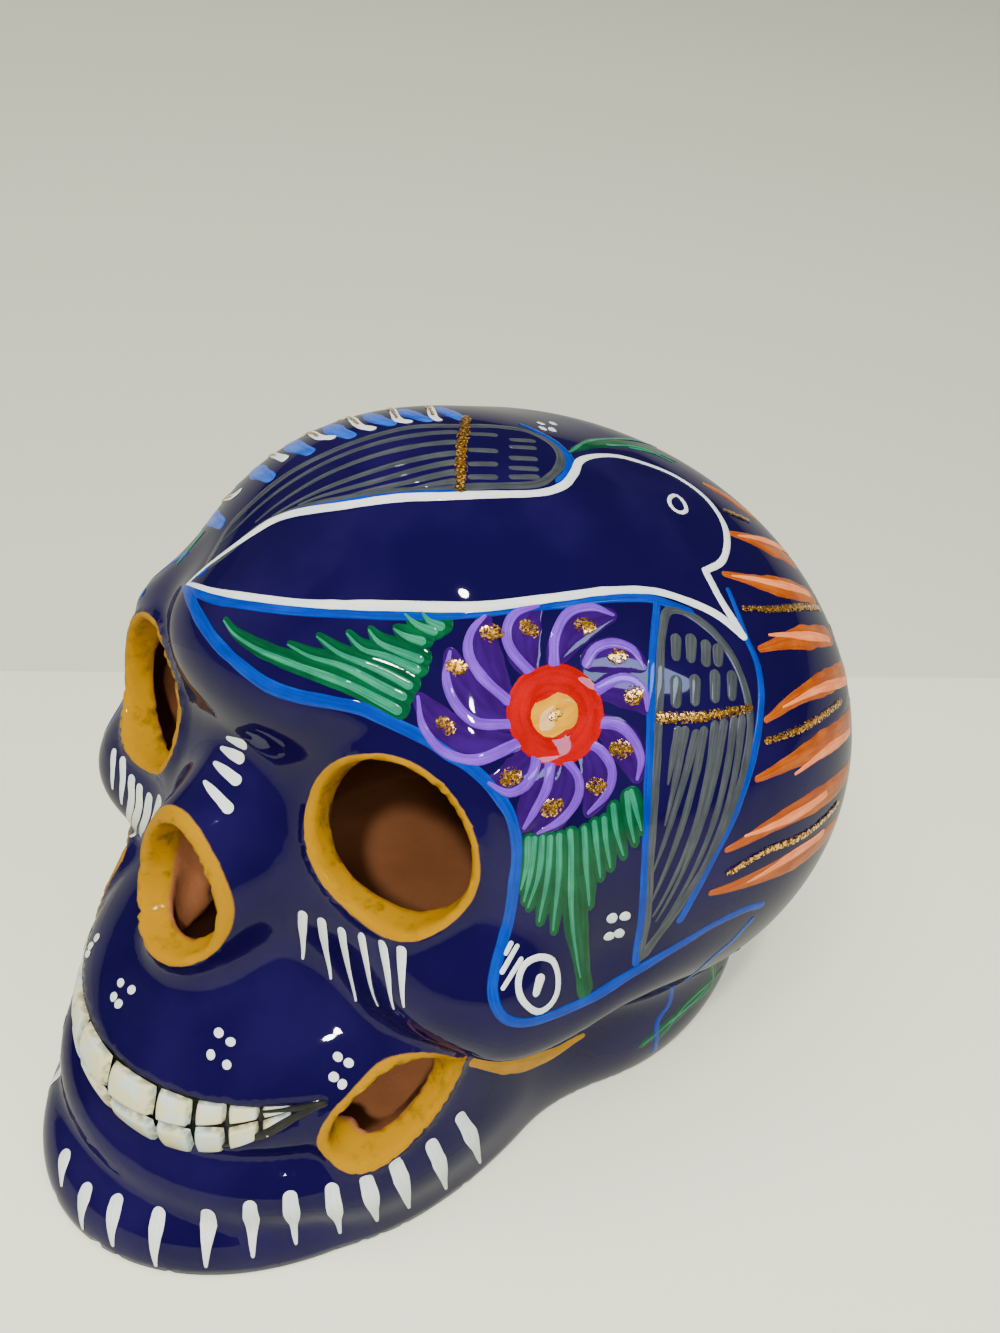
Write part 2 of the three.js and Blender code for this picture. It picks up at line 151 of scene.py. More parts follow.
def rim_offset(opening, u, v, scale=1.0):
    """In-plane distance from the crest of an opening's rounded edge, negative inside the opening."""
    half_u, half_v = (size - opening["rim"] for size in opening["half"])
    half_u, half_v = half_u * scale, half_v * scale
    pear = opening.get("pear", 0)
    swell = 1 - pear * np.clip(v / half_v, -1.6, 1.6)
    a, b = u / (half_u * swell), v / half_v
    k = np.maximum(np.hypot(a, b), 1e-6)
    slope_u = a / (half_u * swell)
    slope_v = b / half_v + a * a * pear / (half_v * swell)
    return k * (k - 1) / np.maximum(np.hypot(slope_u, slope_v), 1e-6)


def skin(p):
    """The outer skin, with a rounded roll of clay round each opening."""
    bare = distance = bare_skin(p)
    for opening in OPENINGS:
        u, v, depth = in_opening(opening, p)
        offset = rim_offset(opening, u, v)
        roll = np.hypot(bare + RIM["sunk"], offset) - opening["rim"]
        near = (np.abs(depth) < CUT_OUTWARD) & (np.abs(offset) < RIM["reach"])
        near &= np.abs(bare) < RIM["depth"]
        distance = np.where(near, soft_union(distance, roll, RIM["blend"]), distance)
    return distance


# Each edge of the opened lips has a height at the middle, and a share that it rises sideways.
LOWER_LIP = (17, 0.0125)
UPPER_LIP = (29.2, 0.0004)
ROW_SHARE = 0.5  # the lower row of teeth takes this share of the height between them


def lip_lines(x):
    """Heights of the lower lip, of the line between the rows of teeth, and of the upper lip."""
    lower, upper = (height + rise * x * x for height, rise in (LOWER_LIP, UPPER_LIP))
    return lower, lower + ROW_SHARE * (upper - lower), upper


def outside_lips(p):
    """How far a point is outside the opened lips, negative inside them."""
    lower, middle, upper = lip_lines(p[:, 0])
    inside = np.minimum(p[:, 2] - lower, upper - p[:, 2])
    return np.where(p[:, 1] < LIPS_BACK, -inside, NOT_NEAR)


TOOTH_EDGES = [0, 16.5, 27, 35.5, 44, 52]  # degrees round the arch from the middle
GROOVE_DEPTH = 0.9
GROOVE_HALF = 0.75


def tooth_arch(p):
    return form_distance(TOOTH_BLOCK, p) + TOOTH_SETBACK


def tooth_surface(p):
    """The tooth arch behind the lips, with a shallow groove along each gap between teeth."""
    arch = tooth_arch(p)
    rx, ry = TOOTH_BLOCK["half"][:2]
    angle = np.degrees(np.arctan2(np.abs(p[:, 0]) / rx, -(p[:, 1] - TOOTH_BLOCK["at"][1]) / ry))
    sideways = np.min([np.abs(angle - edge) for edge in TOOTH_EDGES], 0) * np.radians(rx)
    middle = lip_lines(p[:, 0])[1]
    gap = np.minimum(sideways, np.abs(p[:, 2] - middle))
    return arch + GROOVE_DEPTH * np.clip(1 - gap / GROOVE_HALF, 0, 1)


def hollow_distance(p):
    """Near-distance to the inside of the wall, positive in the clay."""
    return bare_skin(p) + CLAY_WALL


def clay(p):
    """The whole casting: skin, mouth, hollow, flat underside and the cuts of its openings."""
    solid = soft_cut(skin(p), np.maximum(outside_lips(p), -tooth_surface(p)), SOFT_CUTS["mouth"])
    hollow = np.maximum(hollow_distance(p), CLAY_FLOOR - p[:, 2])
    solid = np.maximum(soft_cut(solid, hollow, SOFT_CUTS["hollow"]), -p[:, 2])
    cut_middle, cut_half = (CUT_OUTWARD - CUT_INWARD) / 2, (CUT_OUTWARD + CUT_INWARD) / 2
    for opening in OPENINGS:
        u, v, depth = in_opening(opening, p)
        narrowing = np.clip((1 - depth) / (1 + THROAT), 0, 1)
        offset = rim_offset(opening, u, v, 1 - narrowing * (1 - opening["inner"]))
        plug = np.maximum(offset, np.abs(depth - cut_middle) - cut_half)
        solid = soft_cut(solid, plug, SOFT_CUTS["opening"])
    hole = ball_distance(p[:, 0], p[:, 1] - BASE_HOLE["at"][1], 0 * p[:, 2], (*BASE_HOLE["half"], 1))
    return soft_cut(solid, np.maximum(hole, p[:, 2] - 2 * CLAY_FLOOR), SOFT_CUTS["base_hole"])


LEAST_SLOPE = 0.25  # keeps steps short where a field is nearly level


def gradient(field, p, step=0.1):
    slopes = [field(p + d) - field(p - d) for d in np.eye(3) * step]
    return np.stack(slopes, 1) / (2 * step)


def unit(v):
    return v / np.maximum(np.linalg.norm(v, axis=-1, keepdims=True), 1e-9)


def drawn_onto(field, p, steps=3, reach=1.0):
    """Points moved onto a field's surface along its slope, at most a short reach each step."""
    for _ in range(steps):
        slope = gradient(field, p)
        size = np.maximum((slope * slope).sum(1), LEAST_SLOPE)
        p = p - slope * np.clip(field(p) / size, -reach, reach)[:, None]
    return p


# The camera stands where the photograph was taken, and its measures also place the brush strokes.
IMAGE = (1000, 1333)
FOCUS_PIXELS = 1063.6
CAMERA_TURN = dict(azimuth=38.8, elevation=29.0, roll=3.6)
CAMERA_TARGET = np.array([-8.8, 17.3, 56.6])
CAMERA_DISTANCE = 226.7
SENSOR = 36.0
# Where the search for the skin starts along a line of sight, and how it steps on.
SIGHT = dict(start=100.0, steps=90, share=0.8, reach=9)


def camera_axes():
    """Right, up and backward as the camera sees them."""
    back = direction(CAMERA_TURN["azimuth"], CAMERA_TURN["elevation"])
    level = np.array([*turned(1, 0, -CAMERA_TURN["azimuth"]), 0])
    right, up = turned(level, np.cross(back, level), CAMERA_TURN["roll"])
    return right, up, back


RIGHT, UP, BACK = camera_axes()
CAMERA_PLACE = CAMERA_TARGET + CAMERA_DISTANCE * BACK


def in_metres(p):
    return (np.asarray(p) + MIDDLE_TO_ORIGIN) * MM


def make_camera():
    data = bpy.data.cameras.new("camera")
    data.sensor_width = SENSOR
    data.lens = FOCUS_PIXELS * SENSOR / IMAGE[1]
    camera = bpy.data.objects.new("camera", data)
    turn = Matrix(np.stack([RIGHT, UP, BACK], 1).tolist()).to_4x4()
    camera.matrix_world = Matrix.Translation(in_metres(CAMERA_PLACE)) @ turn
    bpy.context.scene.collection.objects.link(camera)
    bpy.context.scene.camera = camera


def lines_of_sight(pixels):
    x, y = np.asarray(pixels, float).T
    return unit(-BACK + np.outer((x - IMAGE[0] / 2) / FOCUS_PIXELS, RIGHT)
                + np.outer((IMAGE[1] / 2 - y) / FOCUS_PIXELS, UP))


def under_pixels(pixels):
    """Places on the skin seen at photograph pixels; past the outline, the skin nearest that ray."""
    aim = lines_of_sight(pixels)
    along = np.full(len(aim), SIGHT["start"])
    nearest, gap = along.copy(), np.full(len(aim), np.inf)
    for _ in range(SIGHT["steps"]):
        distance = bare_skin(CAMERA_PLACE + aim * along[:, None])
        closer = distance < gap
        nearest[closer], gap[closer] = along[closer], distance[closer]
        along = along + np.clip(distance * SIGHT["share"], 0, SIGHT["reach"])
    return CAMERA_PLACE + aim * nearest[:, None]


# Shader maths: a wrapped socket that takes Python's operators, and one method for any node.
class Value:
    def __init__(self, shader, socket):
        self.shader, self.socket = shader, socket

    def math(self, operation, *terms):
        return self.shader.node("ShaderNodeMath", dict(operation=operation), terms)

    def __add__(self, other):
        return self.math("ADD", self, other)

    def __sub__(self, other):
        return self.math("SUBTRACT", self, other)

    def __rsub__(self, other):
        return self.math("SUBTRACT", other, self)

    def __mul__(self, other):
        return self.math("MULTIPLY", self, other)

    __radd__ = __add__
    __rmul__ = __mul__

    def rising(self, start, end):
        """0 below start, 1 above end, smooth between; falling if end is below start."""
        settings = dict(interpolation_type="SMOOTHSTEP")
        places = {"Value": self, "From Min": min(start, end), "From Max": max(start, end)}
        if start > end:
            places.update({"To Min": 1.0, "To Max": 0.0})
        return self.shader.node("ShaderNodeMapRange", settings, places)


class Shader:
    """A node material for one finish, on a Principled shader."""

    def __init__(self, name, **constants):
        self.material = bpy.data.materials.new(name)
        self.material.use_nodes = True
        self.tree = self.material.node_tree
        self.surface = next(n for n in self.tree.nodes if n.type == "BSDF_PRINCIPLED")
        self.set(**constants)

    def fill(self, socket, value):
        if isinstance(value, Value):
            self.tree.links.new(value.socket, socket)
        else:
            socket.default_value = value

    def node(self, kind, settings=None, inputs=None, output=0):
        made = self.tree.nodes.new(kind)
        for key, value in (settings or {}).items():
            setattr(made, key, value)
        pairs = inputs.items() if isinstance(inputs, dict) else enumerate(inputs or [])
        for key, value in pairs:
            self.fill(made.inputs[key], value)
        return Value(self, made.outputs[output])

    def set(self, **sockets):
        """Sets or links the surface's sockets; an underscore stands for a space in their names."""
        for name, value in sockets.items():
            self.fill(self.surface.inputs[name.replace("_", " ")], value)

    def attribute(self, name):
        return self.node("ShaderNodeAttribute", dict(attribute_name=name), output="Fac")

    def place(self):
        return self.node("ShaderNodeTexCoord", output="Object")

    def noise(self, size, detail=3.0, roughness=0.5, vector=None):
        """Cloudy noise from 0 to 1 with patches about size millimetres across."""
        inputs = {"Vector": vector or self.place(), "Scale": 1000 / size, "Detail": detail,
                  "Roughness": roughness}
        return self.node("ShaderNodeTexNoise", None, inputs)

    def blend(self, share, one, other):
        """A colour between two: the first where share is 0, the second where it is 1."""
        settings = dict(data_type="RGBA", clamp_factor=True)
        return self.node("ShaderNodeMix", settings, {0: share, 6: one, 7: other}, output=2)

    def bump(self, height, distance, strength=1.0):
        """A normal from a height in 0..1, whose full step is distance millimetres."""
        inputs = {"Strength": strength, "Distance": distance * MM, "Height": height}
        return self.node("ShaderNodeBump", None, inputs)


def linear(red, green, blue):
    """A shader colour from the 0..255 values of an even, well lit patch."""
    share = np.array([red, green, blue]) / 255
    low, high = share / 12.92, ((share + 0.055) / 1.055) ** 2.4
    return (*np.where(share <= 0.04045, low, high).tolist(), 1.0)


VARNISH_SHARE = 0.4
VARNISH = dict(Coat_Weight=VARNISH_SHARE, Coat_Roughness=0.03, Coat_IOR=1.42, Specular_IOR_Level=0.0)
NAVY = linear(9, 3, 40)
NAVY_THIN = linear(22, 13, 55)
OCHRE = linear(136, 95, 0)
OCHRE_SMUDGE = linear(70, 58, 6)
RED_CLAY = linear(142, 90, 56)
RED_CLAY_DARK = linear(112, 68, 42)
MOUTH_DARK = linear(22, 24, 22)
ENAMEL = linear(176, 169, 128)
ENAMEL_PEARL = linear(162, 172, 162)
FLOOR_TONE = linear(207, 207, 180)
# The backdrop sheet takes the floor's pale tone made darker: painted shade for the lesser light that
# reaches it.
SHADED_SHEET_TONE = linear(180, 180, 157)


def shell_finish():
    """Navy glaze outside, ochre on the rounded edges and cut walls, bare red clay in the hollow."""
    paint = Shader("navy_glaze_and_red_clay", **VARNISH)
    cover = paint.attribute("cover")
    rim = paint.attribute("rim")
    mouth = paint.attribute("mouth")
    cloud = paint.noise(22, 4)
    navy = paint.blend(cloud.rising(0.42, 0.68) * 0.5, NAVY, NAVY_THIN)
    wavy = paint.noise(7, 2) - 0.5
    smudge = paint.noise(3.6, 5, 0.65).rising(0.49, 0.68) * (rim + wavy * 2).rising(1.0, -1.0) * 0.8
    ochre = paint.blend(smudge, OCHRE, OCHRE_SMUDGE)
    clay_tone = paint.blend(paint.noise(9, 5), RED_CLAY_DARK, RED_CLAY)
    on_rim = (rim + wavy * 0.5).rising(1.35, 1.15)
    bare = (cover + wavy * 1.6).rising(0.9, 0.3)
    in_mouth = (mouth + wavy * 0.4).rising(0.35, 0.1)
    colour = paint.blend(on_rim, navy, ochre)
    colour = paint.blend(in_mouth, colour, MOUTH_DARK)
    colour = paint.blend(bare, colour, clay_tone)
    varnish = (1 - bare) * (1 - on_rim * 0.65) * VARNISH_SHARE
    paint.set(Base_Color=colour, Roughness=0.25 + bare * 0.6, Coat_Weight=varnish)
    grain = paint.noise(0.9, 3) * bare + paint.noise(14, 2) * (1 - bare) * 0.5
    paint.set(Normal=paint.bump(grain, 0.12, 0.6))
    return paint.material


def near_rims(p):
    """Offset from the nearest opening's crest, at most NOT_NEAR."""
    best = np.full(len(p), NOT_NEAR)
    for opening in OPENINGS:
        u, v, depth = in_opening(opening, p)
        offset = rim_offset(opening, u, v)
        best = np.where(np.abs(depth) < CUT_OUTWARD, np.minimum(best, offset), best)
    return np.clip(best, -NOT_NEAR, NOT_NEAR)


def add_values(mesh, **values):
    for name, numbers in values.items():
        layer = mesh.attributes.new(name, "FLOAT", "POINT")
        layer.data.foreach_set("value", np.asarray(numbers, np.float32))


def new_piece(name, mesh, material, smooth=True):
    piece = bpy.data.objects.new(name, mesh)
    bpy.context.scene.collection.objects.link(piece)
    mesh.materials.clear()
    mesh.materials.append(material)
    mesh.polygons.foreach_set("use_smooth", [smooth] * len(mesh.polygons))
    return piece


def merge_close(source, mesh, gap):
    """Fills a mesh from a source, with corners nearer than a gap in millimetres made one."""
    work = bmesh.new()
    work.from_mesh(source)
    bmesh.ops.remove_doubles(work, verts=work.verts, dist=gap * MM)
    work.to_mesh(mesh)
    work.free()


def joined_grids(name, sizes):
    """One mesh of flat square grids, each with so many cells along and across."""
    work = bmesh.new()
    for along, across in sizes:
        bmesh.ops.create_grid(work, x_segments=along, y_segments=across, size=1)
    mesh = bpy.data.meshes.new(name)
    work.to_mesh(mesh)
    work.free()
    return mesh


def evenly_meshed(mesh, material):
    """A closed mesh made again of even squares."""
    rough = new_piece("rough_shell", mesh, material)
    modifier = rough.modifiers.new("even_squares", "REMESH")
    modifier.mode = "VOXEL"
    modifier.voxel_size = SHELL_VOXEL * MM
    graph = bpy.context.evaluated_depsgraph_get()
    fine = bpy.data.meshes.new_from_object(rough.evaluated_get(graph))
    bpy.data.objects.remove(rough)
    return fine


def places_of(mesh):
    flat = np.empty(len(mesh.vertices) * 3, np.float32)
    mesh.vertices.foreach_get("co", flat)
    return flat.reshape(-1, 3).astype(float)


def move_to(mesh, metres):
    mesh.vertices.foreach_set("co", np.asarray(metres, np.float32).ravel())
    mesh.update()


TWIN_CORNERS = 0.01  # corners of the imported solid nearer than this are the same
LIP_EDGE = 0.25  # the dark of the mouth starts this far inside the skin
DARK_REACH = 0.9  # and ends this far outside the arch of the teeth


def make_shell():
    """The casting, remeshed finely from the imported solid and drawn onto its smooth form."""
    mesh = bpy.data.meshes.new("skull_shell")
    merge_close(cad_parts["skull"].data, mesh, TWIN_CORNERS)
    material = shell_finish()
    fine = evenly_meshed(mesh, material)
    points = places_of(fine) / MM - MIDDLE_TO_ORIGIN
    points = drawn_onto(clay, points, steps=4, reach=0.5)
    points[:, 2] = np.maximum(points[:, 2], 0)
    dark = [outside_lips(points), skin(points) + LIP_EDGE, tooth_arch(points) - DARK_REACH]
    add_values(fine, cover=hollow_distance(points), rim=near_rims(points),
               mouth=np.max(dark, 0))
    move_to(fine, in_metres(points))
    shell = new_piece("skull_shell", fine, material)
    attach(shell, "root")
    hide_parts("skull")


# Teeth: each is a rounded pad on the tooth arch, with the dark mouth showing in the gaps.
PAD_STEPS = 14
PAD_GAP = 0.6
PAD_FORWARD = 1.6
PAD_RISE = 0.5
PAD_SUNK = 0.6
PAD_STEEP = 5  # a pad's border slopes down within a fifth of its half width
PAD_CORNER = 0.12  # how much the corners are rounded
PAD_INSET = 0.96  # pads are drawn onto the arch from this share of its radius
PAD_JITTER = 0.12
PAD_BELOW = 0.7  # the lower row starts this far under the lower lip's edge
PAD_ABOVE = 0.1  # and the upper row ends this far over the upper lip's


def pad_shape(across, above):
    """Rounds a square's corners, and gives its raised profile with the border sunk."""
    inside = 1 - np.maximum(np.abs(across), np.abs(above))
    rise = (PAD_RISE + PAD_SUNK) * np.clip(inside * PAD_STEEP, 0, 1) ** 0.6 - PAD_SUNK
    wide, tall = np.sqrt(1 - PAD_CORNER * above**2), np.sqrt(1 - PAD_CORNER * across**2)
    return across * wide, above * tall, rise


def enamel():
    paint = Shader("pearly_enamel", **VARNISH)
    cloud = paint.noise(3.5, 3).rising(0.4, 0.65)
    tone = paint.blend(cloud, ENAMEL, ENAMEL_PEARL)
    edge = paint.attribute("edge").rising(0.25, 0.0) * paint.noise(1.2, 3).rising(0.35, 0.6)
    paint.set(Base_Color=paint.blend(edge * 0.6, tone, MOUTH_DARK), Roughness=0.25)
    paint.set(Normal=paint.bump(paint.noise(1.8, 2), 0.12, 0.6))
    return paint.material


def make_teeth():
    """Two rows of pads, drawn onto the arch and raised from it, more so at the front."""
    degree = np.radians(TOOTH_BLOCK["half"][0])
    pads = [(side, start, end, row) for start, end in zip(TOOTH_EDGES, TOOTH_EDGES[1:])
            for side in (-1, 1) for row in (0, 1)]
    mesh = joined_grids("teeth", [(PAD_STEPS, PAD_STEPS)] * len(pads))
    corners = places_of(mesh)[:, :2].reshape(len(pads), -1, 2)
    places, edges = [], []
    for (side, start, end, row), square in zip(pads, corners):
        across, above, rise = pad_shape(*square.T)
        jitter = CHANCE.normal(0, PAD_JITTER, 4)
        left = start + (PAD_GAP / 2 + jitter[0]) / degree
        right = end - (PAD_GAP / 2 + jitter[1]) / degree
        angle = np.radians((left + right) / 2 + (right - left) / 2 * across) * side
        x = TOOTH_BLOCK["half"][0] * PAD_INSET * np.sin(angle)
        y = TOOTH_BLOCK["at"][1] - TOOTH_BLOCK["half"][1] * PAD_INSET * np.cos(angle)
        lower, middle, upper = lip_lines(x)
        rows = ((lower - PAD_BELOW, middle - PAD_GAP / 2), (middle + PAD_GAP / 2, upper + PAD_ABOVE))
        low, high = rows[row][0] + jitter[2], rows[row][1] + jitter[3]
        z = (low + high) / 2 + (high - low) / 2 * above + jitter[2] * across
        p = drawn_onto(tooth_arch, np.stack([x, y, z], 1), steps=4, reach=3)
        rise = rise + PAD_FORWARD * np.cos(angle) ** 2
        places.append(p + unit(gradient(tooth_arch, p)) * rise[:, None])
        edges.append(1 - np.abs(square).max(1))
    move_to(mesh, in_metres(np.vstack(places)))
    add_values(mesh, edge=np.concatenate(edges))
    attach(new_piece("teeth", mesh, enamel()), "root")


# Brush strokes. Each is a path over the skin with widths in millimetres spread along it. A path is
# read off the photograph as pixels, or drawn round a centre on the dome of the braincase.
DOME = np.array([0, 6.5, 58])
DOME_RADIUS = 60
STROKE_STEP = 0.8
PIXELS_IN_A_MM = 5  # near the middle of the photograph
NEAR_ONLY = 1000  # no stroke reaches this far left, so nothing is copied
PAINT_RISE = 0.03  # each later coat lies this much higher
PAINT_DEPTH = 0.04  # the middle of a stroke lies about this high, and its sides this deep
WIDTH_BEAT = 2  # a stroke's width wavers about once in this length
WIDTH_WAVER = 0.05
PINCHED = 0.004  # ends of strokes narrower than this are closed, as are the seams of rings
ACROSS = np.array([-1, -0.82, -0.4, 0, 0.4, 0.82, 1])
SWELL = np.array([-1.2, 0.7, 1, 1.05, 1, 0.7, -1.2])
CAP_STOPS = np.array([0, 0.06, 0.25, 0.6, 1])


def on_dome(centre, distance, angle):
    """A place so many millimetres along the dome from a centre, at an angle clockwise from up."""
    pole = unit(np.asarray(centre, float) - DOME)
    up = unit(np.array([0, 0, 1]) - pole * pole[2])
    sideways = np.cross(pole, up)
    turn, swing = np.asarray(distance) / DOME_RADIUS, np.radians(angle)
    direction = (np.cos(turn) * pole + np.sin(turn) * (np.cos(swing) * up - np.sin(swing) * sideways))
    return DOME + DOME_RADIUS * direction


class Coat:
    """All the strokes of one paint, which become one thin piece on the skin."""
    made = []

    def __init__(self, name, material, layer):
        self.name, self.material, self.layer = name, material, layer
        self.laid = []
        Coat.made.append(self)

    def stroke(self, path, *widths, closed=False, both=NEAR_ONLY):
        """Lays a stroke along pixels, two numbers each, or places, three numbers each.

        Its copy on the right side is made from what lies further left than the value of both.
        """
        path = np.asarray(path, float)
        self.laid.append(dict(path=path, widths=widths, closed=closed, both=both))

    def strokes(self, paths, *widths, **rest):
        for path in paths:
            self.stroke(path, *widths, **rest)

    def dot(self, place, size, both=NEAR_ONLY):
        """A round dab as one short fat stroke."""
        place = np.asarray(place, float)
        unit_size = 1 if len(place) == 3 else PIXELS_IN_A_MM
        lean = CHANCE.uniform(0.03, 0.1, len(place)) * size * unit_size
        self.stroke([place - lean, place + lean], size, size * 0.9, both=both)


def find_places():
    """Turns every pixel path into places near the skin, all in one go."""
    strokes = [s for coat in Coat.made for s in coat.laid if s["path"].shape[1] == 2]
    counts = [len(s["path"]) for s in strokes]
    places = under_pixels(np.vstack([s["path"] for s in strokes]))
    for stroke, part in zip(strokes, np.split(places, np.cumsum(counts)[:-1])):
        stroke["path"] = part


def smooth_path(path, closed):
    """A Catmull-Rom curve through the places, in steps of about STROKE_STEP."""
    before, after = 2 * path[:1] - path[1:2], 2 * path[-1:] - path[-2:-1]
    if closed:
        before, after = path[-2:-1], path[1:2]
    hull = np.vstack([before, path, after])
    parts = []
    for a, b, c, d in zip(hull, hull[1:], hull[2:], hull[3:]):
        count = max(int(np.linalg.norm(c - b) / STROKE_STEP), 2)
        t = (np.arange(count) / count)[:, None]
        parts.append(b + 0.5 * t * (c - a + t * (2 * a - 5 * b + 4 * c - d + t * (3 * b - a - 3 * c + d))))
    return np.vstack([*parts, path[-1:]])


def spread(stroke):
    """Centres, half widths, directions and lengths along one stroke, with round ends past its path."""
    path, closed = stroke["path"], stroke["closed"]
    widths = np.array(stroke["widths"], float)
    first, last = (0, 0) if closed else (widths[0] / 2, widths[-1] / 2)
    line = smooth_path(np.vstack([path, path[:1]]) if closed else path, closed)
    if not closed:
        start, finish = unit(line[0] - line[1]), unit(line[-1] - line[-2])
        line = np.vstack([line[0] + start * first, line, line[-1] + finish * last])
    length = np.r_[0, np.cumsum(np.linalg.norm(np.diff(line, axis=0), axis=1))]
    total = length[-1]
    stops = np.linspace(0, total, max(int(total / STROKE_STEP), 3) + 1)
    if not closed:
        body = stops[(stops > first) & (stops < total - last)]
        stops = np.r_[CAP_STOPS * first, body, total - CAP_STOPS[::-1] * last]
    half = np.interp(stops / total, np.linspace(0, 1, len(widths)), widths / 2)
    beats = np.arange(0, total + 2 * WIDTH_BEAT, WIDTH_BEAT)
    half = half * np.interp(stops, beats, CHANCE.normal(1, WIDTH_WAVER, len(beats)))
    for reach, gone in ((first, stops), (last, total - stops)):
        if reach:
            half = half * np.sqrt(1 - (1 - np.clip(gone / reach, 0, 1)) ** 2)
    centres = np.stack([np.interp(stops, length, line[:, i]) for i in range(3)], 1)
    ahead = unit(np.gradient(centres, axis=0))
    if closed:
        half[-1] = half[0]
        ahead[[0, -1]] = unit(centres[1] - centres[-2])
    return centres, half, ahead, stops


def with_copies(strokes):
    """The strokes, each followed by its copy on the right side where it has one."""
    laid = []
    for stroke in strokes:
        laid.append(stroke)
        copied = stroke["path"][stroke["path"][:, 0] > stroke["both"]]
        if len(copied) > 1:
            laid.append({**stroke, "path": copied * [-1, 1, 1]})
    return laid


def grid_order(corners, rows_of):
    """For each corner of the joined grids, its number when they are counted row by row."""
    order, first, wide = np.empty(len(corners), int), 0, len(ACROSS)
    for rows in rows_of:
        part = slice(first * wide, (first + rows) * wide)
        row = np.rint((corners[part, 0] + 1) / 2 * (rows - 1)).astype(int)
        column = np.rint((corners[part, 1] + 1) / 2 * (wide - 1)).astype(int)
        order[part] = (first + row) * wide + column
        first += rows
    return order


def lay_coats():
    """Makes each coat's piece: a grid for every stroke, moved onto the skin."""
    find_places()
    for coat in Coat.made:
        spreads = [spread(stroke) for stroke in with_copies(coat.laid)]
        rows_of = [len(half) for centres, half, ahead, along in spreads]
        mesh = joined_grids(coat.name, [(rows - 1, len(ACROSS) - 1) for rows in rows_of])
        centres, half, ahead, along = (np.concatenate(parts) for parts in zip(*spreads))
        centres = drawn_onto(skin, centres, steps=5, reach=4)
        sideways = unit(np.cross(unit(gradient(bare_skin, centres)), ahead))
        places = centres[:, None] + sideways[:, None] * (half[:, None] * ACROSS)[..., None]
        places = drawn_onto(skin, places.reshape(-1, 3), steps=2)
        height = np.tile(SWELL * PAINT_DEPTH + coat.layer * PAINT_RISE, len(centres))
        places = places + unit(gradient(bare_skin, places)) * height[:, None]
        order = grid_order(places_of(mesh), rows_of)
        move_to(mesh, in_metres(places[order]))
        add_values(mesh, along=np.repeat(along, len(ACROSS))[order],
                   across=np.tile(ACROSS, len(centres))[order])
        merge_close(mesh, mesh, PINCHED)
        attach(new_piece(coat.name, mesh, coat.material), "root")


def brushed_coat(name, body, streak, layer):
    """A brushed paint under varnish: streaks of a second tone run along each stroke."""
    paint = Shader(name, **VARNISH)
    along, across = paint.attribute("along"), paint.attribute("across")
    vector = paint.node("ShaderNodeCombineXYZ", None, [along * 0.12, across * 2.2, along * 0.01])
    bristles = paint.noise(1000, 3, 0.6, vector)
    cloud = paint.noise(4, 3)
    share = (bristles * 0.65 + cloud * 0.35).rising(0.38, 0.66)
    paint.set(Base_Color=paint.blend(share, linear(*body), linear(*streak)), Roughness=0.3)
    paint.set(Normal=paint.bump(bristles, 0.05, 0.5))
    return Coat(name, paint.material, layer)


FLAKES_IN_A_METRE = 3600


def glitter_paint(name, bright_tone, dark_tone):
    """Gold glitter: bright metal flakes, each tilted its own way, thinning out toward the edges."""
    paint = Shader(name, **VARNISH)
    cells = {"Vector": paint.place(), "Scale": FLAKES_IN_A_METRE}
    flakes = paint.node("ShaderNodeTexVoronoi", dict(feature="F1"), cells, output="Color")
    tone = paint.node("ShaderNodeSeparateColor", None, [flakes])
    other = paint.node("ShaderNodeSeparateColor", None, [flakes], output=1)
    across = paint.attribute("across")
    bright = tone.rising(0.3, 0.7)
    paint.set(Base_Color=paint.blend(bright, dark_tone, bright_tone), Metallic=bright)
    paint.set(Roughness=0.42 - bright * 0.2, Normal=paint.bump(tone, 0.25, 1.0))
    paint.set(Alpha=(other + 0.3 - across * across * 0.75).rising(0.36, 0.4))
    return paint.material


# Every paint on the skull: the tones of its body and its streaks, and the layer it lies in.
blue = brushed_coat("blue_border", (0, 34, 108), (0, 46, 130), 2)
green = brushed_coat("green_ground", (2, 46, 24), (6, 66, 36), 1)
grey = brushed_coat("grey_feathers", (40, 43, 46), (58, 61, 61), 2)
orange = brushed_coat("orange_petals", (120, 48, 4), (146, 70, 14), 2)
purple = brushed_coat("purple_petals", (30, 3, 58), (40, 7, 76), 1)
sky = brushed_coat("sky_petals", (10, 54, 134), (34, 78, 160), 1)
black = brushed_coat("black_lines", (14, 14, 14), (30, 30, 28), 1)
mint = brushed_coat("mint_strokes", (12, 84, 60), (40, 114, 84), 3)
lilac = brushed_coat("lilac_edges", (76, 32, 132), (98, 50, 158), 3)
salmon = brushed_coat("salmon_lights", (190, 94, 46), (208, 122, 72), 3)
white = brushed_coat("white_lines", (190, 191, 178), (168, 177, 176), 4)
red = brushed_coat("red_centre", (122, 0, 2), (142, 4, 8), 4)
yellow = brushed_coat("yellow_centre", (160, 104, 0), (178, 126, 8), 6)
ochre_brush = brushed_coat("ochre_strokes", (136, 95, 0), (156, 108, 2), 2)
gold = Coat("gold_glitter", glitter_paint("gold_glitter", linear(240, 178, 70), linear(82, 52, 10)), 7)

